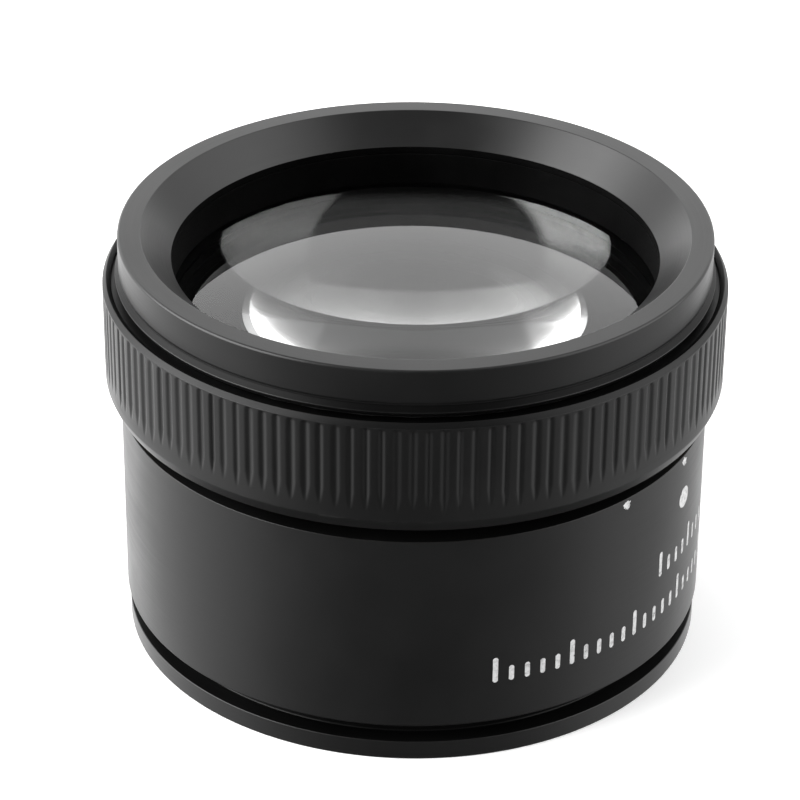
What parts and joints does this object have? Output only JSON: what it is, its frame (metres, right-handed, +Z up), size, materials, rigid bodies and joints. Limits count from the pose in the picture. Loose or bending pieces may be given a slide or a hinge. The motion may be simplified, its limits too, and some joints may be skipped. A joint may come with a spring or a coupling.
{
  "type": "viewing loupe",
  "caption": "Standing focusing loupe: a round barrel on a foot ring, a knurled ring on a multi-start thread, and a lens unit with a dished eye bezel that rises without turning.",
  "frame": {"origin": "centre of the foot's flat underside", "axes": "+Z up along the optical axis, from the foot to the eye bezel"},
  "size_m": [0.0496, 0.0496, 0.0346],
  "materials": {
    "black_body": "satin black anodised",
    "black_bezel": "satin black anodised",
    "black_ring": "satin black anodised, fine knurl",
    "matte_black": "matt black, anti-reflection",
    "lens_glass": "polished optical glass",
    "screw_steel": "dark steel",
    "collar_brass": "turned brass, greased",
    "washer_polymer": "black slip washer"
  },
  "bodies": {
    "barrel": {"barrel_tube": "black_body", "base_ring": "black_body", "guide_screw_1": "screw_steel", "guide_screw_2": "screw_steel", "guide_screw_3": "screw_steel"},
    "lens_unit": {"eye_bezel": "black_bezel", "lens_tube": "matte_black", "upper_lens": "lens_glass", "lens_clamp_ring": "matte_black", "lens_spacer": "matte_black", "lower_lens": "lens_glass", "lower_lens_cell": "matte_black", "lens_retaining_ring": "matte_black", "retaining_clip": "screw_steel", "wave_spring": "screw_steel", "slip_washer": "washer_polymer"},
    "focus_ring": {"knurled_ring": "black_ring", "threaded_collar": "collar_brass", "collar_screw_1": "screw_steel", "collar_screw_2": "screw_steel"}
  },
  "joints": [
    {"name": "focus_travel", "type": "slide", "parent": "barrel", "child": "lens_unit", "axis": [0, 0, 1], "range_m": [-0.0014, 0.0026]},
    {"name": "focus_turn", "type": "hinge", "parent": "lens_unit", "child": "focus_ring", "pos_m": [0, 0, 0.0262], "axis": [0, 0, 1], "range_deg": [-63, 117]}
  ],
  "couplings": [
    {"joint": "focus_travel", "follows": "focus_turn", "m_per_rad": 0.0012732}
  ]
}
